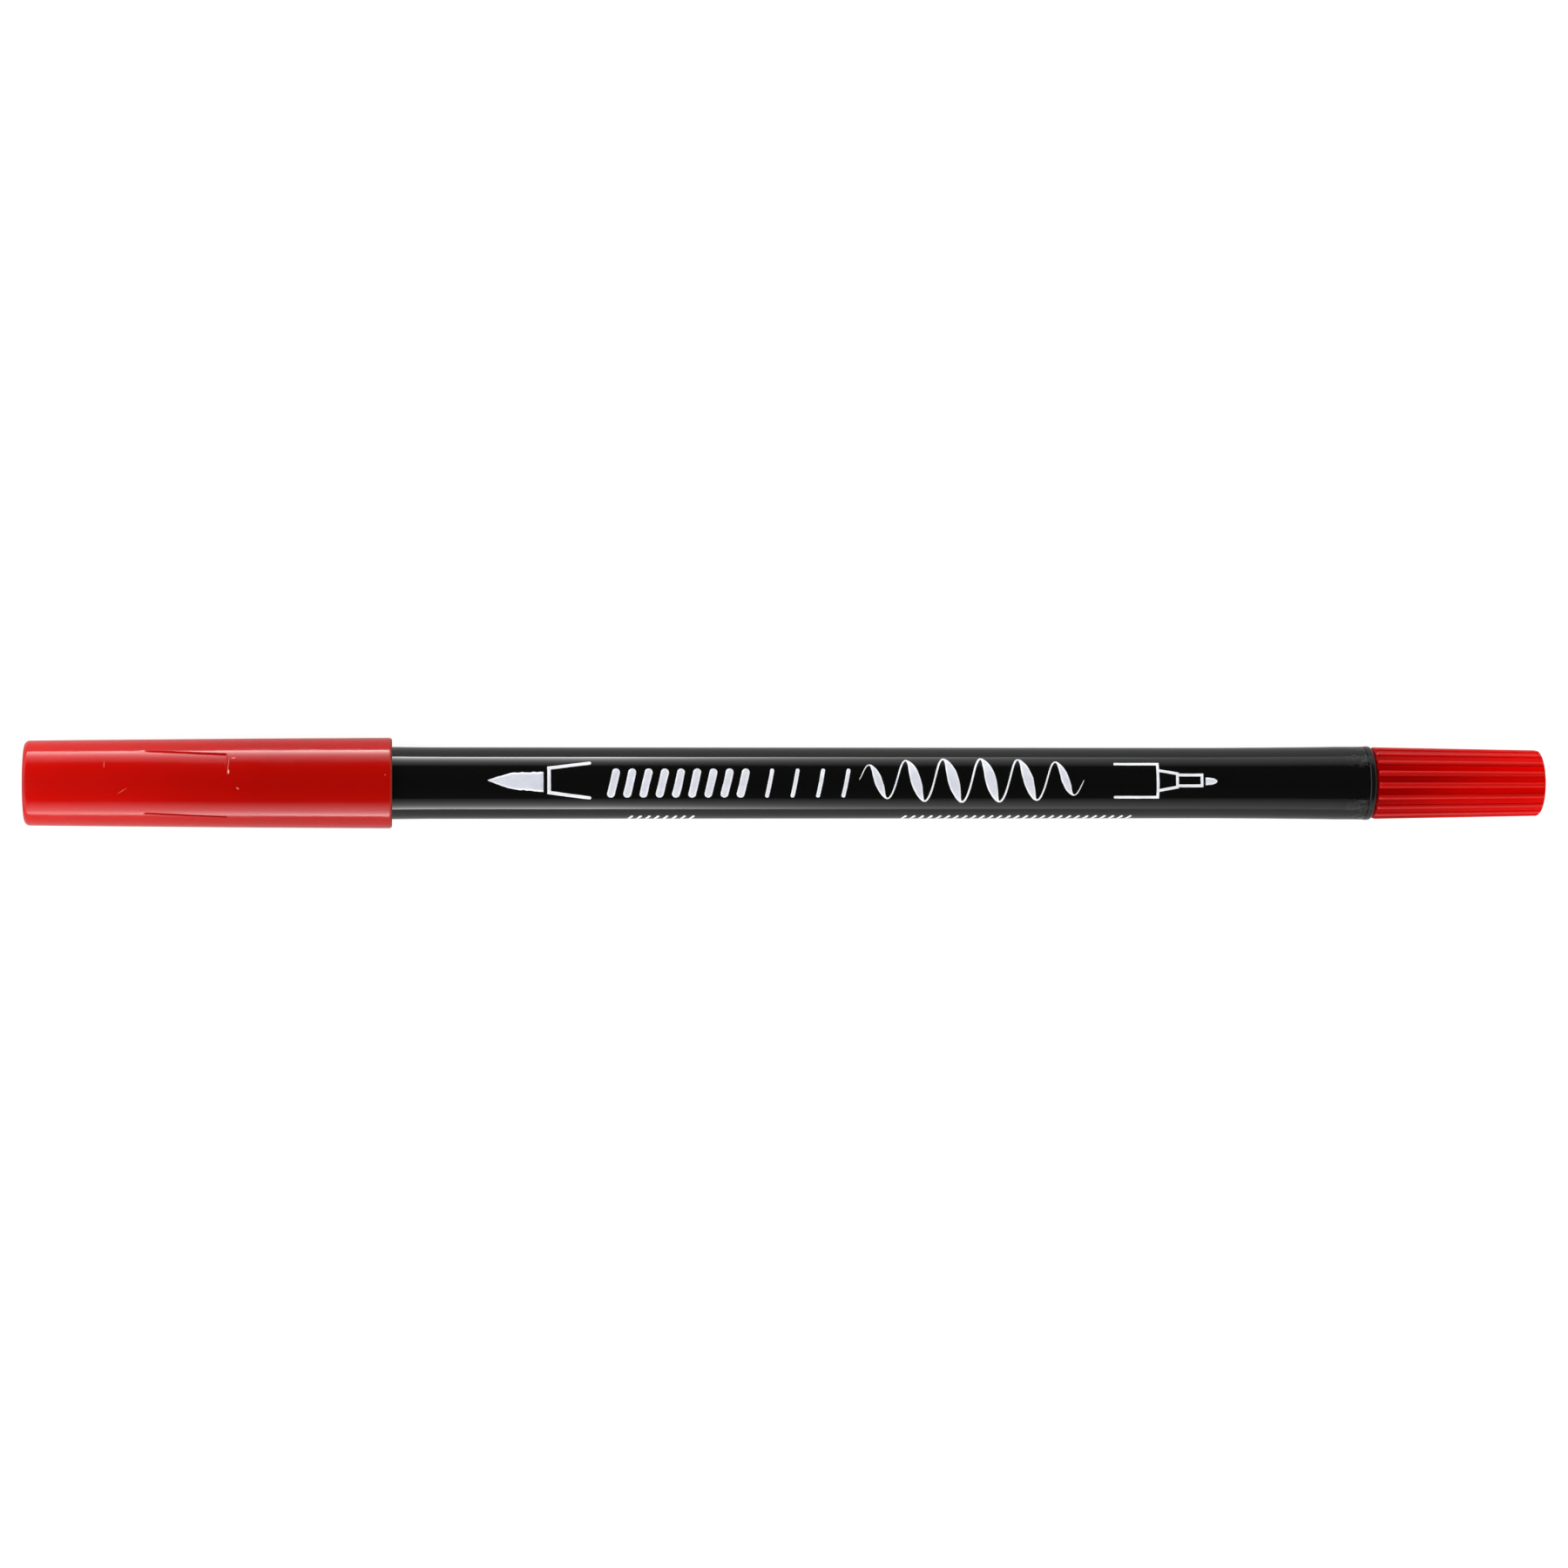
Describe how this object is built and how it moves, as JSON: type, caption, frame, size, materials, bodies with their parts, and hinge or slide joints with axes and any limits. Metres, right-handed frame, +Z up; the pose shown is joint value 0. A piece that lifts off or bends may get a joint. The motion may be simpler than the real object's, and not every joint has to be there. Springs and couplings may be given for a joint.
{
  "type": "twin-tip calligraphy marker",
  "caption": "Slim calligraphy marker with a brush nib under a long smooth cap and a fine bullet nib under a short ribbed cap; both caps pull off.",
  "frame": {"origin": "middle of the marker's length, on its axis", "axes": "+X along the axis towards the fine nib, -X towards the brush nib; +Z is up from the surface it lies on, and faces the same way as a rib of the short cap"},
  "size_m": [0.1656, 0.0098, 0.0098],
  "materials": {
    "black_barrel": "extruded polypropylene, glossy black",
    "black_section": "moulded polypropylene, semi-gloss black",
    "red_cap": "moulded polypropylene, glossy orange red",
    "natural_liner": "moulded low-density polyethylene, natural",
    "inked_brush": "bonded fibre brush nib, soaked with red ink",
    "inked_fibre": "pressed fibre nib, soaked with red ink",
    "reservoir_fibre": "bonded polyester fibre, soaked with ink",
    "film": "rolled polypropylene film"
  },
  "bodies": {
    "marker_body": {"barrel": "black_barrel", "brush_section": "black_section", "brush_nib": "inked_brush", "fine_section": "black_section", "fine_nib_holder": "black_section", "fine_nib": "inked_fibre", "ink_reservoir": "reservoir_fibre", "reservoir_film": "film"},
    "long_cap": {"brush_cap": "red_cap", "brush_cap_liner": "natural_liner"},
    "short_cap": {"fine_cap": "red_cap", "fine_cap_liner": "natural_liner"}
  },
  "joints": [
    {"name": "brush_cap_pull", "type": "slide", "parent": "marker_body", "child": "long_cap", "axis": [-1, 0, 0], "range_m": [0, 0.05]},
    {"name": "fine_cap_pull", "type": "slide", "parent": "marker_body", "child": "short_cap", "axis": [1, 0, 0], "range_m": [0, 0.03]}
  ]
}
